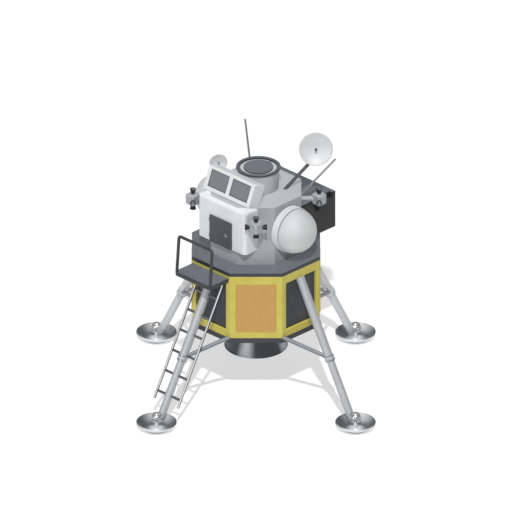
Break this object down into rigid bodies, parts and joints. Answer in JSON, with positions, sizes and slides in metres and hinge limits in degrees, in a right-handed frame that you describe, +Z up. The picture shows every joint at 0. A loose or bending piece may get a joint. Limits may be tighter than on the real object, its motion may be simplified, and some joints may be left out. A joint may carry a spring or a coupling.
{
  "type": "lunar module",
  "caption": "Two-stage crewed lunar lander with an octagonal descent stage on splayed legs, a boxy white cabin, a docking port, dish antennas and a gimballed engine.",
  "frame": {"origin": "on the ground under the centre of the vehicle", "axes": "+Z up, -Y to the front where the hatch and ladder are, +X to the vehicle's left"},
  "size_m": [9.34, 9.34, 8.1686],
  "materials": {
    "frame_paint": "satin yellow film over aluminium",
    "amber_foil": "amber foil blanket, slightly crinkled",
    "bay_black": "matte black heat-resisting paint",
    "slate_paint": "matte slate paint",
    "white_paint": "matte white thermal paint",
    "grey_paint": "matte light-grey thermal paint",
    "dark_paint": "matte dark-grey paint",
    "leg_alloy": "bead-blasted aluminium tube",
    "pad_alloy": "polished pressed bowl with a rolled rim",
    "engine_alloy": "heat-darkened nozzle alloy",
    "steel": "brushed steel",
    "glass": "smoked double-pane window glass"
  },
  "bodies": {
    "lander": {"descent_frame": "frame_paint", "base_plate": "dark_paint", "top_deck": "slate_paint", "ladder": "steel", "platform": "slate_paint", "handrail": "dark_paint", "gimbal_posts": "steel", "midsection": "grey_paint", "crew_cabin": "white_paint", "window_housing": "white_paint", "windows": "glass", "hatch_hinges": "dark_paint", "docking_tunnel": "white_paint", "docking_ring": "slate_paint", "docking_seat": "white_paint", "left_tank": "white_paint", "right_tank": "white_paint", "equipment_bay": "slate_paint", "dish_mast": "dark_paint", "radar_mast": "grey_paint", "whip_antennas": "grey_paint", "left_bay_panel": "bay_black", "left_strut_cylinder": "leg_alloy", "left_strut_piston": "leg_alloy", "left_footpad": "pad_alloy", "left_braces": "leg_alloy", "rear_bay_panel": "bay_black", "rear_strut_cylinder": "leg_alloy", "rear_strut_piston": "leg_alloy", "rear_footpad": "pad_alloy", "rear_braces": "leg_alloy", "right_bay_panel": "bay_black", "right_strut_cylinder": "leg_alloy", "right_strut_piston": "leg_alloy", "right_footpad": "pad_alloy", "right_braces": "leg_alloy", "front_bay_panel": "bay_black", "front_strut_cylinder": "leg_alloy", "front_strut_piston": "leg_alloy", "front_footpad": "pad_alloy", "front_braces": "leg_alloy", "rear_left_foil_panel": "amber_foil", "rear_left_thrusters": "grey_paint", "rear_right_foil_panel": "amber_foil", "rear_right_thrusters": "grey_paint", "front_right_foil_panel": "amber_foil", "front_right_thrusters": "grey_paint", "front_left_foil_panel": "amber_foil", "front_left_thrusters": "grey_paint"},
    "front_hatch": {"front_hatch": "dark_paint", "hatch_handle": "steel"},
    "docking_lid": {"docking_lid": "slate_paint"},
    "dish_yoke": {"dish_yoke": "dark_paint"},
    "dish": {"dish": "white_paint"},
    "radar_yoke": {"radar_yoke": "grey_paint"},
    "radar_dish": {"radar_dish": "white_paint"},
    "gimbal_ring": {"gimbal_ring": "steel"},
    "engine": {"engine_chamber": "engine_alloy", "engine_bell": "engine_alloy"}
  },
  "joints": [
    {"name": "front_hatch_hinge", "type": "hinge", "parent": "lander", "child": "front_hatch", "pos_m": [-0.46, -1.45, 5.45], "axis": [0, 0, -1], "range_deg": [0, 110]},
    {"name": "docking_lid_hinge", "type": "hinge", "parent": "lander", "child": "docking_lid", "pos_m": [0, 0.57, 7.025], "axis": [-1, 0, 0], "range_deg": [0, 100]},
    {"name": "dish_azimuth", "type": "hinge", "parent": "lander", "child": "dish_yoke", "pos_m": [1.16, 1.301, 7.62], "axis": [0, 0, 1], "range_deg": [-60, 90]},
    {"name": "dish_elevation", "type": "hinge", "parent": "dish_yoke", "child": "dish", "pos_m": [1.16, 1.301, 7.62], "axis": [-0.7071, -0.7071, 0], "range_deg": [-10, 60]},
    {"name": "radar_azimuth", "type": "hinge", "parent": "lander", "child": "radar_yoke", "pos_m": [-1.218, -0.358, 6.957], "axis": [0, 0, 1], "range_deg": [-40, 40]},
    {"name": "radar_elevation", "type": "hinge", "parent": "radar_yoke", "child": "radar_dish", "pos_m": [-1.218, -0.358, 6.957], "axis": [-0.5878, -0.809, 0], "range_deg": [-10, 60]},
    {"name": "engine_pitch", "type": "hinge", "parent": "lander", "child": "gimbal_ring", "pos_m": [0, 0, 2.86], "axis": [1, 0, 0], "range_deg": [-6, 6]},
    {"name": "engine_yaw", "type": "hinge", "parent": "gimbal_ring", "child": "engine", "pos_m": [0, 0, 2.86], "axis": [0, 1, 0], "range_deg": [-6, 6]}
  ]
}
